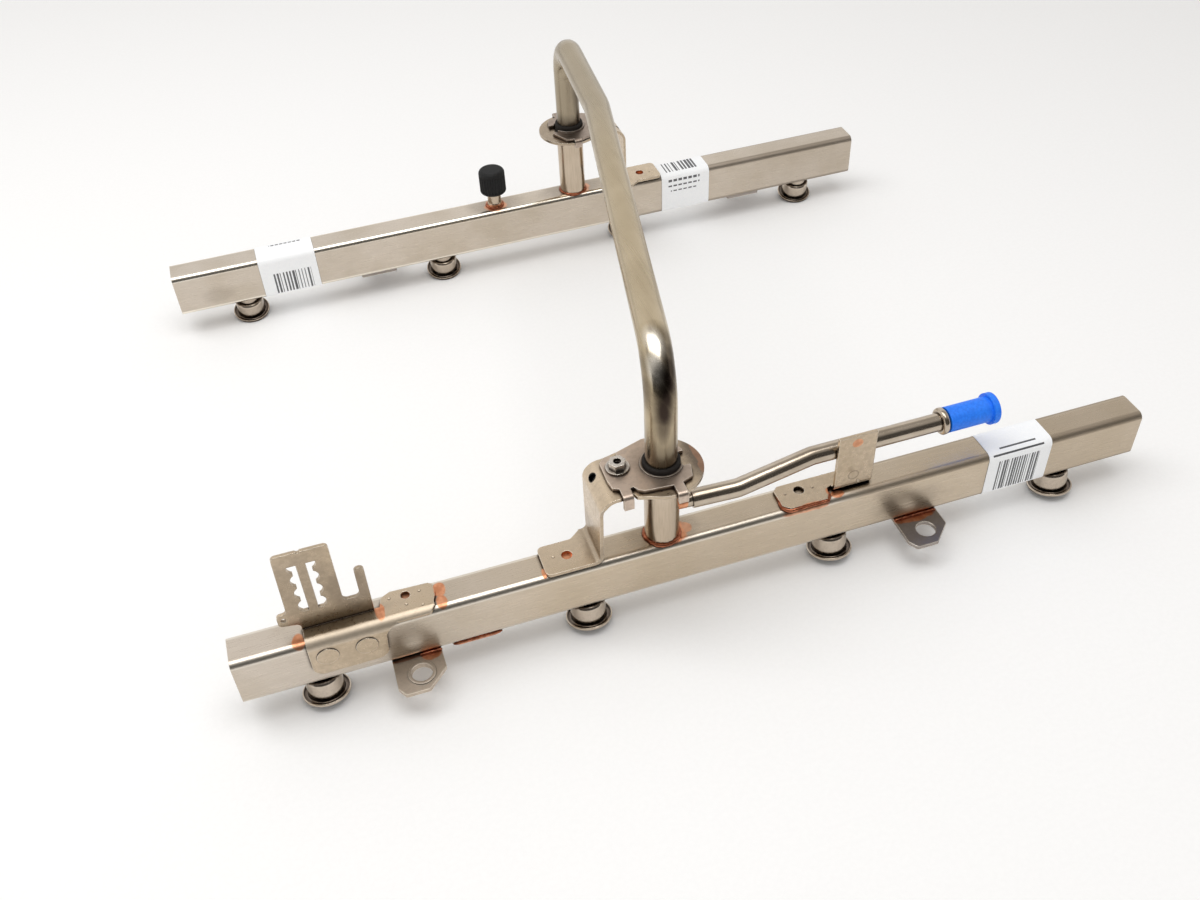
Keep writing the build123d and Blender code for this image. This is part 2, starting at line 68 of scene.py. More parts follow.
RAIL_LOW = corner("near_rail_tube", 0)
RAIL_HIGH = corner("near_rail_tube", 1)
RAIL_TOP = RAIL_HIGH.z
RAIL_UNDER = RAIL_LOW.z
NEAR_Y = (RAIL_LOW.y + RAIL_HIGH.y) / 2
FAR_Y = -NEAR_Y
FACE = (RAIL_HIGH.y - RAIL_LOW.y) / 2
NEAR_FRONT = NEAR_Y - FACE
FAR_FRONT = FAR_Y - FACE
NEAR_SOCKET = middle("near_socket")
FAR_SOCKET = middle("far_socket")
SOCKET_R = (corner("near_socket", 1).x - corner("near_socket", 0).x) / 2
PORT = middle("service_port_body")
FLANGE_Z = corner("near_tower_bracket", 1).z
PIPE_Z = corner("crossover_pipe", 1).z
CUP_X = [middle(f"near_injector_cup_{n}").x for n in (1, 2, 3, 4)]


def near_cup(past, y, z):
    """Place past the first near cup, y from the rail's centre, z from the rail's top, in mm."""
    return Vector((CUP_X[0] + past * MM, NEAR_Y + y * MM, RAIL_TOP + z * MM))


def from_socket(socket, x, y, z):
    """Place from a socket's axis, z from the rail's top, in mm."""
    return Vector((socket.x + x * MM, socket.y + y * MM, RAIL_TOP + z * MM))


# --- shader building blocks ------------------------------------------------------------------------
EVEN = (1, 1, 1)                                        # noise that isn't stretched along any axis


class Shader:
    """A material's node tree, with short ways to add nodes."""

    NOISE_ROUGHNESS = 0.55
    RIM_SAMPLES = 6
    CREASE_SAMPLES = 16
    MIX_FACTOR, MIX_A, MIX_B, MIX_OUT = 0, 6, 7, 2      # the Mix node's sockets for colours

    def __init__(self, name):
        self.material = bpy.data.materials.new(name)
        self.material.use_nodes = True
        self.tree = self.material.node_tree
        self.tree.nodes.clear()
        self.out = self.new("ShaderNodeOutputMaterial")
        self.bsdf = self.new("ShaderNodeBsdfPrincipled")
        self.link(self.bsdf.outputs[0], self.out.inputs[0])
        coords = self.new("ShaderNodeTexCoord")
        self.place = coords.outputs["Object"]
        self.facing = coords.outputs["Normal"]
        self.round_edge = None

    def new(self, kind):
        return self.tree.nodes.new(kind)

    def link(self, a, b):
        self.tree.links.new(a, b)

    def feed(self, socket, value):
        """Join another node's output to a socket, or set the socket to a plain value."""
        if isinstance(value, bpy.types.NodeSocket):
            self.link(value, socket)
        else:
            socket.default_value = value

    def math(self, kind, a, b=0.0, clamp=False):
        node = self.new("ShaderNodeMath")
        node.operation = kind
        node.use_clamp = clamp
        self.feed(node.inputs[0], a)
        self.feed(node.inputs[1], b)
        return node.outputs[0]

    def times(self, a, b):
        return self.math("MULTIPLY", a, b)

    def vector(self, kind, a, b=(0, 0, 0)):
        node = self.new("ShaderNodeVectorMath")
        node.operation = kind
        self.feed(node.inputs[0], a)
        self.feed(node.inputs[1], b)
        return node.outputs["Value"] if kind in ("LENGTH", "DOT_PRODUCT") else node.outputs[0]

    def noise(self, stretch, scale, detail):
        node = self.new("ShaderNodeTexNoise")
        node.inputs["Scale"].default_value = scale
        node.inputs["Detail"].default_value = detail
        node.inputs["Roughness"].default_value = self.NOISE_ROUGHNESS
        self.link(self.vector("MULTIPLY", self.place, stretch), node.inputs["Vector"])
        return node.outputs["Fac"]

    def wobble(self, scale, detail, depth):
        """Noise round 0, which makes the outlines of spots uneven."""
        return self.times(self.math("SUBTRACT", self.noise(EVEN, scale, detail), 0.5), depth)

    def ramp(self, value, low, high, out_low=0.0, out_high=1.0):
        """Smooth step from out_low at low to out_high at high. High may be the smaller one."""
        node = self.new("ShaderNodeMapRange")
        node.interpolation_type = "SMOOTHSTEP"
        self.feed(node.inputs["Value"], value)
        node.inputs["From Min"].default_value = low
        node.inputs["From Max"].default_value = high
        node.inputs["To Min"].default_value = out_low
        node.inputs["To Max"].default_value = out_high
        return node.outputs["Result"]

    def mix(self, factor, a, b):
        """Colour from a to b as the factor goes from 0 to 1."""
        node = self.new("ShaderNodeMix")
        node.data_type = "RGBA"
        self.feed(node.inputs[self.MIX_FACTOR], factor)
        self.feed(node.inputs[self.MIX_A], rgba(a))
        self.feed(node.inputs[self.MIX_B], rgba(b))
        return node.outputs[self.MIX_OUT]

    def blend(self, factor, a, b):
        """Plain number from a to b as the factor goes from 0 to 1."""
        return self.math("ADD", self.times(factor, self.math("SUBTRACT", b, a)), a)

    def split(self, vector=None):
        """The x, y and z of a vector, or of the place on the object."""
        node = self.new("ShaderNodeSeparateXYZ")
        self.link(vector or self.place, node.inputs[0])
        return node.outputs

    def spots(self, places, wobble, edge):
        """Mask of soft blots: centre and three radii in metres, and a depth where it isn't full."""
        total = None
        for centre, radii, *depth in places:
            away = self.vector("DIVIDE", self.vector("SUBTRACT", self.place, centre), radii)
            reach = self.math("ADD", self.vector("LENGTH", away), wobble)
            blot = self.ramp(reach, 1.0 + edge, 1.0 - edge, 0.0, *(depth or [1.0]))
            total = blot if total is None else self.math("MAXIMUM", total, blot)
        return total

    def bends(self):
        """1 on rounded corners and folds that run along X, 0 on level and upright faces."""
        _, y, z = self.split(self.facing)
        return self.ramp(self.math("ABSOLUTE", self.times(y, z)), 0.06, 0.24)

    def uprights(self):
        """1 on faces that stand up and look along Y."""
        _, y, _ = self.split(self.facing)
        return self.ramp(self.math("ABSOLUTE", y), 0.6, 0.95)

    def rim(self, radius):
        """1 along sharp edges, within the radius that the shading rounds; steel() uses it as the mask for
        painted edge highlights.
        """
        self.round_edge = self.new("ShaderNodeBevel")
        self.round_edge.samples = self.RIM_SAMPLES
        self.round_edge.inputs["Radius"].default_value = radius
        geometry = self.new("ShaderNodeNewGeometry")
        same = self.vector("DOT_PRODUCT", self.round_edge.outputs[0], geometry.outputs["Normal"])
        return self.ramp(same, 0.985, 0.9)

    def crease(self, reach):
        """1 in tight inside corners and gaps, 0 on open faces: the mask for painted crease shade."""
        node = self.new("ShaderNodeAmbientOcclusion")
        node.samples = self.CREASE_SAMPLES
        node.inputs["Distance"].default_value = reach
        return self.ramp(node.outputs["AO"], 0.9, 0.5)

    def surface(self, height, strength, distance=0.2 * MM):
        """Bumps, on top of the rounded edges where rim() made them."""
        bump = self.new("ShaderNodeBump")
        bump.inputs["Strength"].default_value = strength
        bump.inputs["Distance"].default_value = distance
        self.link(height, bump.inputs["Height"])
        if self.round_edge:
            self.link(self.round_edge.outputs[0], bump.inputs["Normal"])
        self.link(bump.outputs[0], self.bsdf.inputs["Normal"])

    def colour(self, value):
        self.feed(self.bsdf.inputs["Base Color"], value)

    def roughness(self, value):
        self.feed(self.bsdf.inputs["Roughness"], value)

    def metal(self, value=1.0):
        self.feed(self.bsdf.inputs["Metallic"], value)


def rgba(value):
    if isinstance(value, bpy.types.NodeSocket) or len(value) == 4:
        return value
    return (*value, 1.0)


def srgb(r, g, b):
    """Linear colour of an 8-bit screen colour."""
    linear = []
    for channel in (r, g, b):
        c = channel / 255
        linear.append(c / 12.92 if c <= 0.04045 else ((c + 0.055) / 1.055) ** 2.4)
    return tuple(linear)


def mm(*values):
    return tuple(v * MM for v in values)


# --- where the copper braze, the heat marks and the painted reflection on the crossover lie ----------
def under_near(cup, past, y, rise):
    """Place on the near rail's front, past a cup, y from the face, z from the rail's underside, in mm."""
    return Vector((CUP_X[cup] + past * MM, NEAR_FRONT + y * MM, RAIL_UNDER + rise * MM))


def on_leg(socket, x, y, rise):
    """Place round a leg of the crossover, z from the flange's top, in mm."""
    return Vector((socket.x + x * MM, socket.y + y * MM, FLANGE_Z + rise * MM))


# Each mark: its centre, its radii along X, Y and Z, and its depth where it isn't full.
BRAZE = {
    "rail": [
        (near_cup(52.2, 2.2, 0), mm(2.7, 3.6, 2.0)),
        (near_cup(52.0, -4.6, 0), mm(2.2, 3.6, 2.4)),
        (near_cup(-4.4, -5.2, 0), mm(2.5, 4.4, 2.6)),
        (near_cup(39.0, 2.6, 0), mm(2.2, 2.2, 1.0), 0.6),
        (from_socket(NEAR_SOCKET, 0.6, -1.0, 0), mm(8.4, 7.7, 1.6)),
        (from_socket(NEAR_SOCKET, 10.0, -0.6, 0), mm(2.6, 2.6, 1.6), 0.7),
        (from_socket(NEAR_SOCKET, -40.7, 0.5, 0), mm(3.0, 3.0, 1.0)),
        (from_socket(NEAR_SOCKET, -51.9, -4.6, 0), mm(0.8, 2.6, 1.0)),
        (from_socket(NEAR_SOCKET, 62.0, -8.4, -1.0), mm(11.4, 2.4, 1.8), 0.8),
        (from_socket(NEAR_SOCKET, 77.0, -5.0, 0), mm(3.2, 2.0, 1.6)),
        (from_socket(FAR_SOCKET, 0.4, -1.4, 0), mm(8.4, 7.4, 1.5), 0.7),
        (from_socket(FAR_SOCKET, 40.7, -0.5, 0), mm(2.8, 2.8, 1.0)),
        (Vector((PORT.x, PORT.y - 1 * MM, RAIL_TOP)), mm(6.6, 6.0, 1.5), 0.8),
        (under_near(0, 43.6, 0, 0.4), mm(5.2, 2.0, 1.8)),
        (under_near(2, 38.0, 0, 0.6), mm(10.4, 2.0, 2.0)),
        (under_near(0, 63.3, 0, 0), mm(12.0, 2.0, 1.3)),
    ],
    "bracket": [
        (near_cup(28.0, -2.2, 1.5), mm(1.9, 4.0, 1.6)),
        (near_cup(39.6, 1.6, 0), mm(2.2, 2.0, 1.2), 0.6),
        (near_cup(50.6, 1.0, 0.4), mm(1.0, 5.6, 1.3)),
        (from_socket(NEAR_SOCKET, -40.7, 0.5, 0.6), mm(2.8, 2.8, 1.3)),
        (from_socket(NEAR_SOCKET, 15.6, 3.0, 37.7), mm(1.5, 9.0, 2.2), 0.25),
        (from_socket(NEAR_SOCKET, 14.8, -6.2, 37.3), mm(1.4, 4.0, 2.0), 0.25),
        (from_socket(NEAR_SOCKET, 62.0, -7.5, 0.4), mm(11.0, 1.1, 1.2)),
        (from_socket(NEAR_SOCKET, 51.6, -2.6, 0.4), mm(0.8, 5.0, 1.1)),
        (from_socket(NEAR_SOCKET, 74.0, -4.4, 0.6), mm(2.2, 3.4, 1.6)),
        (from_socket(NEAR_SOCKET, 84.1, -3.9, 25.8), mm(2.2, 2.0, 2.2), 0.85),
        (from_socket(FAR_SOCKET, 40.7, -0.5, 0.6), mm(2.7, 2.7, 1.2)),
    ],
    "socket": [
        (from_socket(NEAR_SOCKET, 0, 0, 0), mm(9.6, 9.6, 1.4)),
        (from_socket(NEAR_SOCKET, 6.4, -1.0, 15.8), mm(3.6, 3.4, 4.2)),
        (from_socket(FAR_SOCKET, 0, 0, 0), mm(9.6, 9.6, 1.2)),
        (Vector((PORT.x, PORT.y, RAIL_TOP)), mm(6.4, 6.4, 2.4)),
    ],
    "ear": [
        (under_near(2, 36.6, -0.4, 0), mm(9.6, 3.0, 1.5)),
    ],
    "pale_ear": [
        (under_near(0, 43.6, -0.6, 0), mm(4.4, 3.0, 1.5)),
        (under_near(0, 34.0, 0, 0), mm(6.4, 0.8, 1.5), 0.7),
    ],
    "inlet": [
        (from_socket(NEAR_SOCKET, 8.0, -0.6, 16), mm(2.4, 6.0, 6.0)),
    ],
}

HEAT_AND_REFLECTION = {
    "rail": [
        (under_near(2, 34.0, 0, 10.0), mm(16.0, 4.0, 7.0), 0.26),
        (Vector((CUP_X[0] - 14.0 * MM, FAR_FRONT, RAIL_UNDER + 9.0 * MM)), mm(8.0, 4.0, 4.5), 0.18),
        (from_socket(NEAR_SOCKET, 0, 0, 0), mm(14.0, 10.0, 2.0), 0.3),
        (from_socket(FAR_SOCKET, 0, 0, 0), mm(16.0, 12.0, 2.0), 0.4),
        (Vector((PORT.x, PORT.y, RAIL_TOP)), mm(13.0, 12.0, 2.0), 0.35),
    ],
    "bracket": [
        (near_cup(10.0, -0.5, 3.0), mm(22.0, 3.0, 6.4), 0.28),
        (near_cup(19.0, -0.5, 17.0), mm(9.0, 3.0, 14.0), 0.5),
        (near_cup(3.0, -0.5, 24.0), mm(13.0, 3.0, 20.0), 0.34),
        (from_socket(NEAR_SOCKET, -28.0, 3.0, 3.0), mm(5.0, 14.0, 12.0), 0.4),
        (from_socket(NEAR_SOCKET, 16.0, 0.0, 37.7), mm(6.0, 15.0, 3.0), 0.85),
        (from_socket(FAR_SOCKET, -8.0, -2.0, 37.7), mm(15.0, 17.0, 2.0), 0.45),
    ],
    "retainer": [
        (from_socket(NEAR_SOCKET, 0, 0, 40.0), mm(10.4, 10.4, 5.0), 0.5),
        (from_socket(FAR_SOCKET, 0, 0, 38.7), mm(22.0, 22.0, 4.0), 0.42),
    ],
    "pipe": [
        (on_leg(NEAR_SOCKET, 0, 0, 1), mm(9.0, 9.0, 20.0), 0.85),
        # The next nine marks, up the near leg, round its bend and along its left edge: part heat tint, part
        # painted reflection of the dim room.
        (on_leg(NEAR_SOCKET, -1.2, -6.2, 28), mm(2.8, 7.0, 12.0), 0.75),
        (on_leg(NEAR_SOCKET, -0.9, -6.0, 34), mm(3.4, 7.0, 10.0)),
        (on_leg(NEAR_SOCKET, 0.4, -4.8, 39), mm(3.6, 7.0, 9.0)),
        (on_leg(NEAR_SOCKET, 2.4, -2.0, 43.5), mm(3.6, 7.0, 8.0)),
        (on_leg(NEAR_SOCKET, 4.6, 1.4, 46.5), mm(3.2, 7.0, 7.0), 0.95),
        (on_leg(NEAR_SOCKET, 6.2, 5.4, 49.6), mm(2.6, 7.0, 5.4), 0.85),
        (on_leg(NEAR_SOCKET, 6.6, 10.0, 52.4), mm(1.8, 7.0, 4.4), 0.6),
        (on_leg(NEAR_SOCKET, -5.7, 1.0, 41), mm(1.6, 6.0, 9.0), 0.6),
        (on_leg(NEAR_SOCKET, -4.7, 6.4, 48), mm(1.6, 6.0, 6.0), 0.45),
        (on_leg(FAR_SOCKET, 0, 0, 2), mm(9.0, 9.0, 9), 0.95),
        (on_leg(FAR_SOCKET, 4.0, -4.6, 24), mm(3.0, 5.0, 20), 0.65),
        (on_leg(FAR_SOCKET, 0, -4.0, 18), mm(8.0, 8.0, 22), 0.2),
    ],
}
DART_LOW = from_socket(NEAR_SOCKET, -25.9, 5.8, 34.8)       # bottom of the dart pressed into the tower, painted black as shade
PLATE_DISC = from_socket(NEAR_SOCKET, 84.1, -3.9, 7.6)      # lower weld mark on the inlet's plate
PIPE_HIGHLIGHT_SPOTS = [                                                # painted highlight on the crossover's near bend
    (on_leg(NEAR_SOCKET, -1.0, 1.4, 48.0), mm(2.6, 6.0, 7.0), 0.9),
    (on_leg(NEAR_SOCKET, 1.4, 8.6, 54.0), mm(3.0, 7.0, 4.0), 0.9),
]

# --- materials -------------------------------------------------------------------------------------
COPPER = srgb(228, 164, 126)
COPPER_SHADE = srgb(200, 134, 98)
BEAD = srgb(186, 116, 86)
BEAD_SHADE = srgb(142, 84, 60)
# Dark of the pits, and of the painted shade in creases and gaps
GRIME_AND_SHADE = srgb(62, 50, 42)
SCORCH_AND_SHADE = srgb(100, 88, 78)
RETAINER_SCORCH = srgb(74, 62, 54)
PAINTED_EDGE_HIGHLIGHT = srgb(244, 236, 222)
UPRIGHT_SHADE = srgb(96, 84, 70)
DART_PAINTED_SHADE = (0.01, 0.01, 0.01)
RAIL_WARM = srgb(204, 184, 154)
RAIL_DULL = srgb(110, 98, 86)
PIPE_PALE = srgb(190, 174, 146)
PIPE_SHADE = srgb(176, 160, 132)
PIPE_GRAIN = srgb(128, 112, 88)
PIPE_FAR = srgb(136, 130, 120)
PIPE_HIGHLIGHT = srgb(244, 238, 226)
PIPE_SCORCH_AND_REFLECTION = srgb(58, 48, 42)
PAPER = srgb(247, 249, 251)
PAPER_FIBRE = srgb(252, 253, 254)
INK = (0.025, 0.025, 0.03)
INK_DEPTH = 0.92
BEND_ROUGH = 0.5                    # of bends that aren't polished
COPPER_ROUGH = 0.36


def steel(name, colour, shade, rough, grain=(3, 60, 60), grain_depth=0.16, cloud=30.0, drift=None,
          upright_shade=0.0, pits=0.0, edge=0.0, gleam=0.8, shine=None, bend_rough=BEND_ROUGH, bend_shade=0.3,
          bend_metal=1.0, crease=1.8 * MM, creases=0.85, heat=None, scorch_and_shade=SCORCH_AND_SHADE, marks=None, braze=None):
    """Steel with fine grain and a cloudy tone, painted highlights on edges and bends, painted shade in
    creases and on bends, heat marks and braze.

    grain: how far the grain is squeezed along X, Y and Z
    grain_depth, upright_shade, pits, gleam, creases: how strongly each shows; upright_shade is painted shade
    on upright faces, gleam the painted edge highlight and creases the painted crease shade
    edge, crease: width of the painted edge highlight and reach of the painted crease shade, in metres
    shine: polish and painted highlight of bends along X, a number or a function (without it the bend_ values
    do nothing);
    bend_shade darkens the bends as painted shade
    drift, marks: functions that take the shader and a tone and give a new tone
    heat, braze: keys of HEAT_AND_REFLECTION and BRAZE
    """
    s = Shader(name)
    streak = s.noise(grain, 40, 4)
    patch = s.noise(EVEN, cloud, 3)
    tone = s.mix(s.ramp(patch, 0.32, 0.7), colour, shade)
    if drift:
        tone = drift(s, tone)
    tone = s.mix(s.ramp(streak, 0.35, 0.75, 0.0, grain_depth), tone, scorch_and_shade)
    rough_now = s.ramp(streak, 0.3, 0.7, rough - 0.04, rough + 0.05)
    metal = 1.0
    wobble = s.wobble(170, 2, 0.7)
    if upright_shade:
        # Painted shade: faces that stand up and look along Y are darkened.
        tone = s.mix(s.times(s.uprights(), upright_shade), tone, UPRIGHT_SHADE)
    if pits:
        dots = s.ramp(s.noise(EVEN, 900, 0), 0.77, 0.82)
        tone = s.mix(s.times(dots, pits), tone, GRIME_AND_SHADE)
    if edge:
        # Painted highlight along sharp edges.
        tone = s.mix(s.times(s.rim(edge), gleam), tone, PAINTED_EDGE_HIGHLIGHT)
    if shine:
        bends = s.bends()
        # Painted highlight: bends are lightened towards the edge highlight colour as far as shine reaches,
        # and made smoother.
        bright = s.times(bends, shine(s) if callable(shine) else shine)
        rough_now = s.blend(bright, s.blend(bends, rough_now, BEND_ROUGH), bend_rough)
        # Painted shade: bends are darkened towards the scorch colour by bend_shade.
        tone = s.mix(s.times(bends, bend_shade), tone, scorch_and_shade)
        tone = s.mix(bright, tone, PAINTED_EDGE_HIGHLIGHT)
        if bend_metal < 1.0:
            metal = s.blend(bends, 1.0, bend_metal)
    # Painted shade: tight inside corners and gaps are darkened by the ambient occlusion mask.
    tone = s.mix(s.times(s.crease(crease), creases), tone, GRIME_AND_SHADE)
    if heat:
        tone = s.mix(s.spots(HEAT_AND_REFLECTION[heat], wobble, 0.5), tone, scorch_and_shade)
    if marks:
        tone = marks(s, tone)
    if braze:
        mark = s.spots(BRAZE[braze], wobble, 0.12)
        copper_tone = s.mix(s.ramp(s.noise(EVEN, 300, 2), 0.35, 0.65), COPPER, COPPER_SHADE)
        tone = s.mix(mark, tone, copper_tone)
        rough_now = s.blend(mark, rough_now, COPPER_ROUGH)
    s.metal(metal)
    s.colour(tone)
    s.roughness(rough_now)
    s.surface(streak, 0.03)
    return s


def rail_drift(s, tone):
    """Past the first cup the rails turn warmer, the near one most, and past the third both are duller."""
    x, y, _ = s.split()
    near = s.ramp(y, 0.0, NEAR_Y, 0.12, 0.5)
    warm = s.times(s.ramp(x, CUP_X[0] + 30 * MM, CUP_X[1]), near)
    tone = s.mix(warm, tone, RAIL_WARM)
    dull = s.times(s.ramp(x, CUP_X[2] + 30 * MM, CUP_X[3]), 0.14)
    return s.mix(dull, tone, RAIL_DULL)


def rail_polish_and_highlight(s):
    """Polish and painted highlight of the rails' corners: full on the far rail, less on the near one, gone
    past the third cup.
    """
    x, y, _ = s.split()
    return s.times(s.ramp(x, CUP_X[2] + 16 * MM, CUP_X[2] - 10 * MM), s.ramp(y, FAR_Y, NEAR_Y, 1.0, 0.62))


def bracket_marks_and_shade(s, tone):
    """Painted shade in the bottom of the tower's dart, and the ring round the weld mark on the inlet's plate.
    """
    tone = s.mix(s.spots([(DART_LOW, mm(2.2, 2.6, 2.2))], 0.0, 0.1), tone, DART_PAINTED_SHADE)
    ring = s.math("SUBTRACT", s.spots([(PLATE_DISC, mm(2.6, 2.0, 2.6))], 0.0, 0.1),
                  s.spots([(PLATE_DISC, mm(2.0, 2.0, 2.0))], 0.0, 0.1), clamp=True)
    return s.mix(s.times(ring, 0.45), tone, SCORCH_AND_SHADE)


def copper():
    """Bead of braze, uneven and dull in places."""
    s = Shader("braze_copper")
    lumps = s.noise(EVEN, 420, 3)
    s.metal()
    s.colour(s.mix(s.ramp(lumps, 0.38, 0.62), BEAD, BEAD_SHADE))
    s.roughness(s.ramp(lumps, 0.3, 0.7, 0.26, 0.42))
    s.surface(lumps, 0.5, 0.4 * MM)
    return s


def plastic(name, colour, rough, shine, bump=0.1):
    """Plain plastic or rubber with a fine grain."""
    s = Shader(name)
    grain = s.noise(EVEN, 900, 2)
    lighter = tuple(min(1.0, c * 1.25 + 0.004) for c in colour)
    s.colour(s.mix(s.ramp(grain, 0.3, 0.7), colour, lighter))
    s.roughness(rough)
    s.bsdf.inputs["Specular IOR Level"].default_value = shine
    s.rim(0.3 * MM)
    s.surface(grain, bump)
    return s


def pipe_steel():
    """Crossover: grain along each run, olive and brown weathering, scorched at the seals and near bend, with
    a painted dark reflection up the near leg and a painted highlight on its bend.
    """
    s = Shader("pipe_steel")
    _, y, z = s.split()
    upright = s.ramp(z, PIPE_Z - 22 * MM, PIPE_Z - 32 * MM)
    lengthwise = s.noise((60, 2, 60), 10, 3)
    vertical = s.noise((60, 60, 2), 10, 3)
    streak = s.blend(upright, lengthwise, vertical)
    patch = s.noise(EVEN, 26, 3)
    tone = s.mix(s.ramp(patch, 0.3, 0.7), PIPE_PALE, PIPE_SHADE)
    tone = s.mix(s.ramp(streak, 0.45, 0.8, 0.0, 0.12), tone, PIPE_GRAIN)
    far = s.ramp(y, -20 * MM, 80 * MM)
    tone = s.mix(s.times(far, 0.4), tone, PIPE_FAR)
    wobble = s.wobble(90, 3, 0.4)
    # Painted highlight on the near bend.
    tone = s.mix(s.spots(PIPE_HIGHLIGHT_SPOTS, wobble, 0.6), tone, PIPE_HIGHLIGHT)
    # Heat tint, and up the near leg also a painted dark reflection.
    tone = s.mix(s.spots(HEAT_AND_REFLECTION["pipe"], wobble, 0.75), tone, PIPE_SCORCH_AND_REFLECTION)
    s.metal()
    s.colour(tone)
    s.roughness(s.ramp(streak, 0.3, 0.7, 0.2, 0.3))
    s.surface(streak, 0.03)
    return s


class Print:
    """Dark printing on a label: bars and ruled lines, without letters or numbers."""

    THIN_BAR, THICK_BAR = 0.22, 0.78            # share of a step that a bar fills
    DASH = 0.72                                 # share of a dash's step that is printed

    def __init__(self, shader):
        self.s = shader
        self.x, self.y, self.z = shader.split()
        self.ink = None

    def below(self, value, limit):
        return self.s.math("LESS_THAN", value, limit)

    def above(self, value, limit):
        return self.s.math("GREATER_THAN", value, limit)

    def inside(self, value, low, high):
        return self.s.times(self.above(value, low), self.below(value, high))

    def box(self, x0, x1, across, low, high):
        return self.s.times(self.inside(self.x, x0, x1), self.inside(across, low, high))

    def add(self, mask):
        self.ink = mask if self.ink is None else self.s.math("MAXIMUM", self.ink, mask)

    def bars(self, x0, x1, across, low, high, only, step=1.25 * MM, seed=0.0):
        """Bars of uneven width from x0 to x1, one in each step."""
        s = self.s
        place = s.math("DIVIDE", s.math("SUBTRACT", self.x, x0), step)
        cell = s.math("FLOOR", place)
        node = s.new("ShaderNodeTexWhiteNoise")
        node.noise_dimensions = "1D"
        s.link(s.math("ADD", cell, seed), node.inputs["W"])
        width = s.ramp(node.outputs["Value"], 0.0, 1.0, self.THIN_BAR, self.THICK_BAR)
        stripe = self.below(s.math("FRACT", place), width)
        self.add(s.times(s.times(stripe, only), self.box(x0, x1, across, low, high)))

    def line(self, x0, x1, across, low, high, only, step=0.0):
        """Ruled line, or a row of dashes where their step is given."""
        s = self.s
        mask = s.times(self.box(x0, x1, across, low, high), only)
        if step:
            part = s.math("FRACT", s.math("DIVIDE", self.x, step))
            mask = s.times(mask, self.below(part, self.DASH))
        self.add(mask)


def paper(name, draw):
    """Label paper, with what draw() prints on it."""
    s = Shader(name)
    fibre = s.noise(EVEN, 1200, 3)
    tone = s.mix(s.ramp(fibre, 0.3, 0.7), PAPER, PAPER_FIBRE)
    art = Print(s)
    draw(art)
    s.colour(s.mix(s.times(art.ink, INK_DEPTH), tone, INK))
    s.roughness(0.45)
    s.surface(fibre, 0.05)
    return s


def near_label(art):
    left, high = corner("near_rail_label", 0).x, corner("near_rail_label", 1).z
    front = art.below(art.y, NEAR_FRONT)
    top = art.above(art.z, RAIL_TOP)
    shoulder = art.below(art.y, NEAR_FRONT + 2.2 * MM)
    art.bars(left + 5.2 * MM, left + 25.4 * MM, art.z, high - 22.2 * MM, high - 4.6 * MM, front)
    art.line(left + 2.0 * MM, left + 27.0 * MM, art.z, high - 1.6 * MM, high - 0.9 * MM, shoulder)
    art.line(left + 6.2 * MM, left + 24.0 * MM, art.y, NEAR_FRONT + 2.6 * MM, NEAR_FRONT + 3.6 * MM, top)


def far_label_1(art):
    left, high = corner("far_rail_label_1", 0).x, corner("far_rail_label_1", 1).z
    front = art.below(art.y, FAR_FRONT)
    top = art.above(art.z, RAIL_TOP)
    art.bars(left + 6.6 * MM, left + 27.2 * MM, art.z, high - 24.4 * MM, high - 10.0 * MM, front,
             step=1.7 * MM, seed=31.0)
    art.line(left + 7.8 * MM, left + 25.4 * MM, art.y, FAR_FRONT + 12.2 * MM, FAR_FRONT + 13.2 * MM, top,
             step=2.4 * MM)


def far_label_2(art):
    left, high = corner("far_rail_label_2", 0).x, corner("far_rail_label_2", 1).z
    front = art.below(art.y, FAR_FRONT + 1.0 * MM)
    top = art.above(art.z, RAIL_TOP)
    art.bars(left + 4.0 * MM, left + 23.4 * MM, art.y, FAR_FRONT + 3.0 * MM, FAR_FRONT + 13.2 * MM, top,
             step=2.0 * MM, seed=67.0)
    for drop, thick, start, end in ((3.2, 1.6, 3.6, 23.6), (7.0, 1.0, 3.6, 23.6), (10.4, 0.8, 5.6, 21.6)):
        art.line(left + start * MM, left + end * MM, art.z, high - (drop + thick) * MM, high - drop * MM,
                 front, step=3.1 * MM)


STAMPED = (14, 14, 14)              # grain with no direction: coarser on stamped sheet
DRAWN = (20, 20, 20)                # and finer on cups and screws

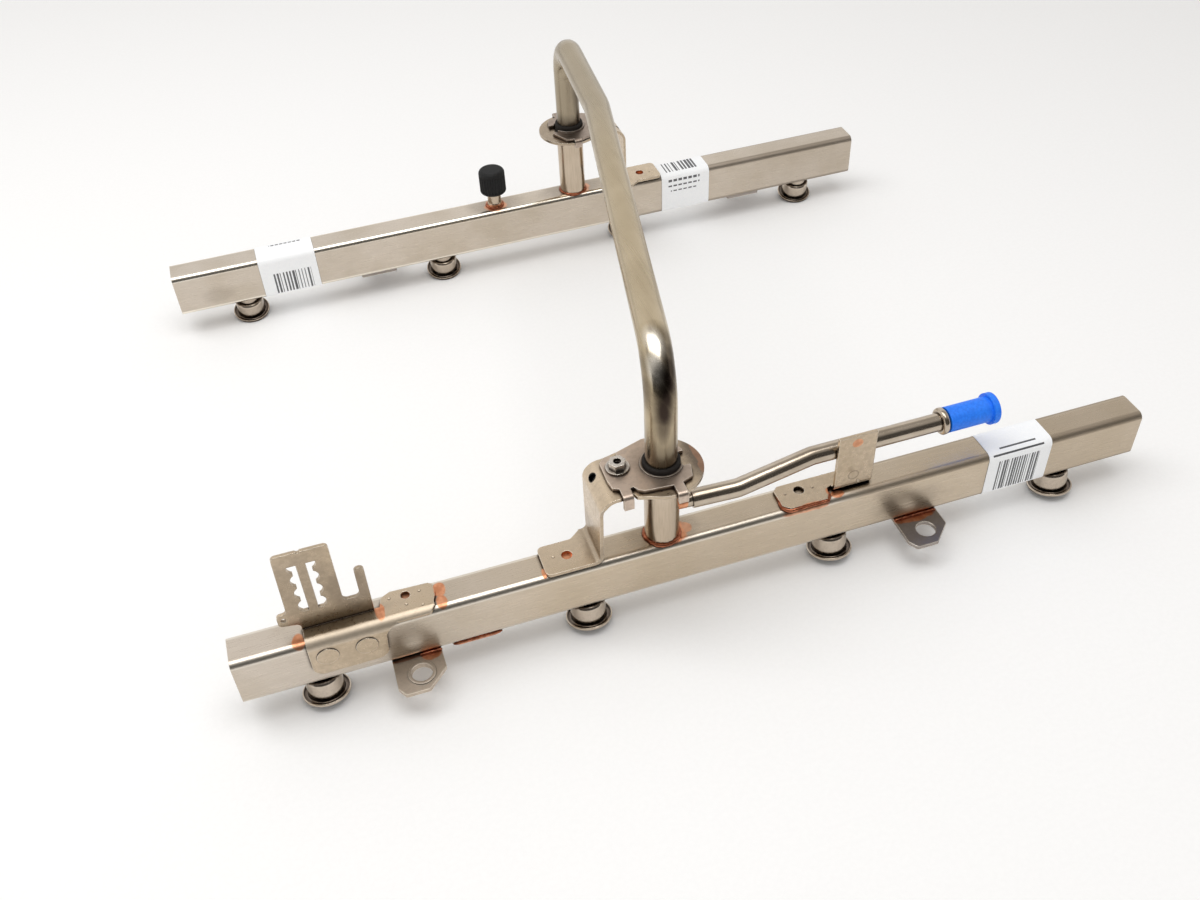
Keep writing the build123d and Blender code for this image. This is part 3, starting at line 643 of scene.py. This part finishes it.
MATERIALS = {
    "rail": steel("rail_steel", srgb(208, 197, 184), srgb(196, 184, 168), 0.3, braze="rail", heat="rail",
                  grain_depth=0.09, drift=rail_drift, edge=0.35 * MM, gleam=0.5, shine=rail_polish_and_highlight,
                  bend_rough=0.2, crease=2.6 * MM, creases=1.0),
    "cup": steel("cup_steel", srgb(204, 191, 175), srgb(190, 176, 160), 0.18, DRAWN, crease=6.0 * MM,
                 creases=0.95),
    "socket": steel("socket_steel", srgb(204, 188, 168), srgb(192, 175, 154), 0.22, (60, 60, 3),
                    braze="socket"),
    "bracket": steel("bracket_steel", srgb(210, 192, 168), srgb(200, 181, 155), 0.3, STAMPED,
                     braze="bracket", heat="bracket", marks=bracket_marks_and_shade, upright_shade=0.14, pits=0.15,
                     edge=0.45 * MM, shine=0.22, bend_rough=0.3, bend_shade=0.0, bend_metal=0.82,
                     creases=1.0),
    "pipe": pipe_steel(),
    "inlet": steel("inlet_steel", srgb(200, 187, 170), srgb(182, 168, 150), 0.17, (4, 40, 40),
                   braze="inlet", cloud=60),
    "ear": steel("ear_steel", srgb(172, 163, 156), srgb(152, 143, 136), 0.4, STAMPED, braze="ear",
                 edge=0.6 * MM, gleam=1.0, creases=0.45),
    "pale_ear": steel("pale_ear_steel", srgb(212, 197, 180), srgb(192, 177, 160), 0.42, STAMPED,
                      braze="pale_ear", edge=0.5 * MM, gleam=1.0, creases=0.45),
    "retainer": steel("retainer_steel", srgb(208, 190, 174), srgb(196, 178, 163), 0.38, STAMPED,
                      heat="retainer", scorch_and_shade=RETAINER_SCORCH, cloud=18, edge=0.45 * MM, creases=0.7),
    "screw": steel("screw_steel", srgb(214, 208, 200), srgb(182, 174, 166), 0.2, DRAWN, crease=3.0 * MM,
                   edge=0.3 * MM),
    "rubber": plastic("seal_rubber", (0.014, 0.011, 0.009), 0.7, shine=0.2),
    "black_cap": plastic("black_cap_plastic", (0.008, 0.008, 0.008), 0.6, shine=0.25),
    "blue_cap": plastic("blue_cap_plastic", srgb(20, 116, 240), 0.45, shine=0.4, bump=0.05),
    "brass": steel("valve_brass", srgb(190, 160, 90), srgb(160, 130, 70), 0.25),
    "copper": copper(),
    "near_label": paper("near_label_paper", near_label),
    "far_label_1": paper("far_label_1_paper", far_label_1),
    "far_label_2": paper("far_label_2_paper", far_label_2),
}

# Part of a node's name, and its look. The first that fits is taken.
LOOKS = {
    "rail_tube": "rail", "end_cap": "rail", "pad": "rail", "injector_cup": "cup", "_socket": "socket",
    "tower_bracket": "bracket", "clip_bracket": "bracket", "inlet_bracket": "bracket",
    "near_collared_ear": "pale_ear", "_ear": "ear",
    "retainer_plate": "retainer", "retainer_screws": "screw", "retainer_washers": "screw",
    "seal": "rubber", "crossover_pipe": "pipe", "inlet_pipe": "inlet", "inlet_dust_cap": "blue_cap",
    "service_port_body": "socket", "service_port_core": "brass", "service_port_cap": "black_cap",
    "near_rail_label": "near_label", "far_rail_label_1": "far_label_1", "far_rail_label_2": "far_label_2",
}


def dress(obj, look):
    obj.data.materials.clear()
    obj.data.materials.append(MATERIALS[look].material)


for node, obj in frame["nodes"].items():
    for key, look in LOOKS.items():
        if key in node:
            dress(obj, look)
            break
    else:
        raise ValueError(f"no look for {node}")


# --- braze beads and weld nubs -----------------------------------------------------------------------
ROOT = next(iter(frame["bodies"]))
BEAD_SIDES = 8
BEAD_SWING = 0.25                   # how far a bead's thickness comes and goes
BEAD_TIP = 0.35                     # thickness at its ends
NUB_RADIUS = 0.8 * MM
NUB_HEIGHT = 0.4 * MM
NUB_SUNK = 0.15 * MM
NUB_ROWS = 4
NUB_SIDES = 14


def finished(b, name):
    """Mesh made from a bmesh, which is freed."""
    mesh = bpy.data.meshes.new(name)
    b.to_mesh(mesh)
    b.free()
    return mesh


def add_object(name, data):
    obj = bpy.data.objects.new(name, data)
    bpy.context.collection.objects.link(obj)
    return obj


def piece(name, mesh, look):
    """Extra piece that rides the part's body."""
    obj = add_object(name, mesh)
    for face in mesh.polygons:
        face.use_smooth = True
    dress(obj, look)
    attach(obj, ROOT)


def bead_mesh(path, radius, closed, seed):
    """Uneven round bead along points in metres."""
    b = bmesh.new()
    rings = []
    count = len(path)
    for i, point in enumerate(path):
        back = path[i - 1] if i or closed else path[i]
        ahead = path[(i + 1) % count] if i < count - 1 or closed else path[i]
        way = (ahead - back).normalized()
        side = way.cross(Vector((0, 0, 1)))
        side = side.normalized() if side.length > 0.01 else Vector((1, 0, 0))
        up = side.cross(way)
        wave = 1 + BEAD_SWING * sin(seed + i * 1.7) * cos(seed * 2 + i * 0.9)
        if not closed and i in (0, count - 1):
            wave *= BEAD_TIP
        ring = []
        for k in range(BEAD_SIDES):
            turn = 2 * pi * k / BEAD_SIDES
            ring.append(b.verts.new(point + (side * cos(turn) + up * sin(turn)) * radius * wave))
        rings.append(ring)
    pairs = list(zip(rings, rings[1:]))
    if closed:
        pairs.append((rings[-1], rings[0]))
    for one, two in pairs:
        for k in range(BEAD_SIDES):
            b.faces.new((one[k], one[(k + 1) % BEAD_SIDES], two[(k + 1) % BEAD_SIDES], two[k]))
    if not closed:
        b.faces.new(rings[0][::-1])
        b.faces.new(rings[-1])
    bmesh.ops.recalc_face_normals(b, faces=b.faces)
    return finished(b, "bead")


def ring_path(centre, radius, count=40):
    turns = [2 * pi * k / count for k in range(count)]
    return [centre + Vector((cos(turn), sin(turn), 0)) * radius for turn in turns]


def straight(a, b, count):
    a, b = Vector(a), Vector(b)
    return [a.lerp(b, k / (count - 1)) for k in range(count)]


def braze(name, path, radius, closed, seed):
    piece(name, bead_mesh(path, radius, closed, seed), "copper")


braze("braze_near_socket", ring_path(from_socket(NEAR_SOCKET, 0, 0, 0.25), SOCKET_R + 0.1 * MM),
      0.95 * MM, True, 1.0)
braze("braze_far_socket", ring_path(from_socket(FAR_SOCKET, 0, 0, 0.2), SOCKET_R + 0.05 * MM),
      0.75 * MM, True, 2.0)
braze("braze_service_port", ring_path(Vector((PORT.x, PORT.y, RAIL_TOP + 0.2 * MM)), 4.6 * MM, 28),
      0.7 * MM, True, 3.0)
for name, x, half in (("braze_near_ear_1", CUP_X[0] + 43.6 * MM, 4.6 * MM),
                      ("braze_near_ear_2", CUP_X[2] + 37.6 * MM, 10.0 * MM)):
    y, z = NEAR_FRONT - 0.1 * MM, RAIL_UNDER + 0.5 * MM
    braze(name, straight((x - half, y, z), (x + half, y, z), 22), 0.6 * MM, False, x * 90)
pad_left, pad_right = corner("near_rail_pad", 0).x + 1 * MM, corner("near_rail_pad", 1).x - 1 * MM
pad_y = NEAR_FRONT + 0.9 * MM
braze("braze_near_pad", straight((pad_left, pad_y, RAIL_UNDER), (pad_right, pad_y, RAIL_UNDER), 20),
      0.7 * MM, False, 5)

FOOT_LEFT = 51.8                    # bead round the inlet bracket's foot, in mm from the socket's axis
FOOT_FRONT = -7.6
FOOT_EDGE = ((-0.1, 7.0), (-0.1, 5.0), (0.0, 2.4), (1.4, 0.8), (2.8, 0.0), (6.0, 0.0), (10.0, 0.0),
             (14.0, 0.0), (17.6, 0.0), (19.6, 0.0), (20.6, 1.6), (21.4, 3.2), (22.0, 5.0))
foot_path = [from_socket(NEAR_SOCKET, FOOT_LEFT + x, FOOT_FRONT + y, 0.35) for x, y in FOOT_EDGE]
braze("braze_inlet_foot", foot_path, 0.85 * MM, False, 7)


def nub_mesh(centre, normal):
    """Low dome left by a spot weld."""
    b = bmesh.new()
    previous = None
    top = b.verts.new((0, 0, NUB_HEIGHT))
    for row in range(1, NUB_ROWS + 1):
        share = row / NUB_ROWS
        z = NUB_HEIGHT * (1 - share * share) - (NUB_SUNK if row == NUB_ROWS else 0)
        turns = [2 * pi * k / NUB_SIDES for k in range(NUB_SIDES)]
        ring = [b.verts.new((NUB_RADIUS * share * cos(a), NUB_RADIUS * share * sin(a), z)) for a in turns]
        for k in range(NUB_SIDES):
            after = (k + 1) % NUB_SIDES
            if previous is None:
                b.faces.new((top, ring[k], ring[after]))
            else:
                b.faces.new((previous[k], ring[k], ring[after], previous[after]))
        previous = ring
    b.faces.new(previous[::-1])
    b.transform(Matrix.Translation(centre) @ Vector(normal).to_track_quat("Z", "Y").to_matrix().to_4x4())
    return finished(b, "nub")


SHEET_TOP = 1.5                     # top of the brackets' feet, in mm from the rail's top
UP, FRONT = (0, 0, 1), (0, -1, 0)
PLATE_FACE = corner("inlet_bracket", 0).y
NUBS = {
    "clip_nub_1": (near_cup(32.6, 3.0, SHEET_TOP), UP),
    "clip_nub_2": (near_cup(44.7, 3.0, SHEET_TOP), UP),
    "clip_nub_3": (near_cup(38.6, -2.1, SHEET_TOP), UP),
    "clip_nub_4": (near_cup(44.7, -4.4, SHEET_TOP), UP),
    "tower_nub": (from_socket(NEAR_SOCKET, -46.2, 1.4, SHEET_TOP), UP),
    "far_tower_nub": (from_socket(FAR_SOCKET, 46.2, -1.4, SHEET_TOP), UP),
    "inlet_nub_1": (from_socket(NEAR_SOCKET, 55.6, 1.2, SHEET_TOP), UP),
    "inlet_nub_2": (from_socket(NEAR_SOCKET, 68.0, 1.0, SHEET_TOP), UP),
    "inlet_plate_nub": (Vector((NEAR_SOCKET.x + 84.4 * MM, PLATE_FACE, RAIL_TOP + 7.4 * MM)), FRONT),
}
for name, (centre, normal) in NUBS.items():
    piece(name, nub_mesh(centre, normal), "bracket")


# --- world, floor, surroundings, lamp, camera ----------------------------------------------------------
SOFT_LIGHT = 0.6                    # the world's strength, but for what the camera and reflections see
WARM_WHITE = (1.0, 0.98, 0.955, 1)
FLOOR_RADIUS = 3.0
FLOOR_CLOTH = (0.955, 0.955, 0.955)
FLOOR_FIBRE = (0.97, 0.97, 0.97)
ROOM_RADIUS = 1.6
ROOM_HALF = 3                       # half its length along X
ROOM_START, ROOM_END = 48, 178      # degrees from +Y, over the top, towards -Y
ROOM_STEPS = 40
ROOM_COLOUR = (1.0, 0.97, 0.94, 1)
LAMP_PLACE = Vector((-0.3, 0.0, 1.1))
LAMP_TARGET = Vector((-0.3, 0.001, 0))
LAMP_SIZE = (1.5, 0.6)
LAMP_WATTS = 7.8
LAMP_TURN = radians(-32)
CAMERA_PLACE = (-0.13768, -0.45253, 0.401273)
CAMERA_YAW = 0.281
CAMERA_PITCH = 0.752
CAMERA_ROLL = -0.056
SENSOR = 36.0
FOCAL_SHARE = 1.000101              # focal length over image width


def make_world():
    """White behind for the camera and for reflections, plain soft light for everything else."""
    world = bpy.data.worlds.new("studio")
    bpy.context.scene.world = world
    world.use_nodes = True
    tree = world.node_tree
    tree.nodes.clear()
    out = tree.nodes.new("ShaderNodeOutputWorld")
    room = tree.nodes.new("ShaderNodeBackground")
    white = tree.nodes.new("ShaderNodeBackground")
    mixer = tree.nodes.new("ShaderNodeMixShader")
    path = tree.nodes.new("ShaderNodeLightPath")
    seen = path.outputs["Is Camera Ray"]
    for kind in ("Is Glossy Ray", "Is Transmission Ray"):
        either = tree.nodes.new("ShaderNodeMath")
        either.operation = "MAXIMUM"
        tree.links.new(seen, either.inputs[0])
        tree.links.new(path.outputs[kind], either.inputs[1])
        seen = either.outputs[0]
    room.inputs["Color"].default_value = WARM_WHITE
    room.inputs["Strength"].default_value = SOFT_LIGHT
    white.inputs["Color"].default_value = (1, 1, 1, 1)
    white.inputs["Strength"].default_value = 1.0
    tree.links.new(seen, mixer.inputs[0])
    tree.links.new(room.outputs[0], mixer.inputs[1])
    tree.links.new(white.outputs[0], mixer.inputs[2])
    tree.links.new(mixer.outputs[0], out.inputs[0])


def make_floor():
    """Pale cloth floor, a large disc."""
    b = bmesh.new()
    bmesh.ops.create_circle(b, cap_ends=True, segments=96, radius=FLOOR_RADIUS)
    floor = add_object("floor", finished(b, "floor"))
    s = Shader("floor_cloth")
    fibre = s.noise(EVEN, 500, 2)
    s.colour(s.mix(s.ramp(fibre, 0.3, 0.7), FLOOR_CLOTH, FLOOR_FIBRE))
    s.roughness(0.9)
    floor.data.materials.append(s.material)


def make_room():
    """The dim room over and in front of the table, seen only in reflections."""
    b = bmesh.new()
    rows = []
    for i in range(ROOM_STEPS + 1):
        turn = radians(ROOM_START + (ROOM_END - ROOM_START) * i / ROOM_STEPS)
        y, z = ROOM_RADIUS * cos(turn), ROOM_RADIUS * sin(turn)
        rows.append((b.verts.new((-ROOM_HALF, y, z)), b.verts.new((ROOM_HALF, y, z))))
    for one, two in zip(rows, rows[1:]):
        b.faces.new((one[0], one[1], two[1], two[0]))
    room = add_object("room", finished(b, "room"))
    s = Shader("room_dim")
    _, y, z = s.split()
    turn = s.math("ARCTAN2", z, y)
    behind = s.ramp(turn, radians(ROOM_START), radians(62), 0.95, 0.48)     # bright just over the backdrop
    front = s.ramp(turn, radians(112), radians(138), 1.0, 0.2)              # dark in front of the table
    glow = s.new("ShaderNodeEmission")
    glow.inputs["Color"].default_value = ROOM_COLOUR
    s.link(s.times(behind, front), glow.inputs["Strength"])
    s.link(glow.outputs[0], s.out.inputs[0])
    room.data.materials.append(s.material)
    room.visible_camera = False
    room.visible_diffuse = False
    room.visible_shadow = False
    room.visible_transmission = False


def make_lamp():
    """One wide lamp overhead."""
    data = bpy.data.lights.new("key", "AREA")
    data.shape = "RECTANGLE"
    data.size, data.size_y = LAMP_SIZE
    data.energy = LAMP_WATTS
    aim = (LAMP_TARGET - LAMP_PLACE).to_track_quat("-Z", "Y").to_matrix().to_4x4()
    spin = Matrix.Rotation(LAMP_TURN, 4, "Z") @ aim
    add_object("key", data).matrix_world = Matrix.Translation(LAMP_PLACE) @ spin


def make_camera():
    """The photo's camera, solved from its straight rails, row of cups and upright sockets."""
    data = bpy.data.cameras.new("camera")
    data.sensor_width = SENSOR
    data.lens = FOCAL_SHARE * SENSOR
    data.clip_start = 0.01
    camera = add_object("camera", data)
    level = cos(CAMERA_PITCH)
    ahead = Vector((sin(CAMERA_YAW) * level, cos(CAMERA_YAW) * level, -sin(CAMERA_PITCH)))
    side = Vector((cos(CAMERA_YAW), -sin(CAMERA_YAW), 0))
    up = side.cross(ahead)
    right = side * cos(CAMERA_ROLL) + up * sin(CAMERA_ROLL)
    top = up * cos(CAMERA_ROLL) - side * sin(CAMERA_ROLL)
    turn = Matrix((right, top, -ahead)).transposed().to_4x4()
    camera.matrix_world = Matrix.Translation(CAMERA_PLACE) @ turn
    bpy.context.scene.camera = camera


make_world()
make_floor()
make_room()
make_lamp()
make_camera()
bpy.context.scene.view_settings.view_transform = "Standard"
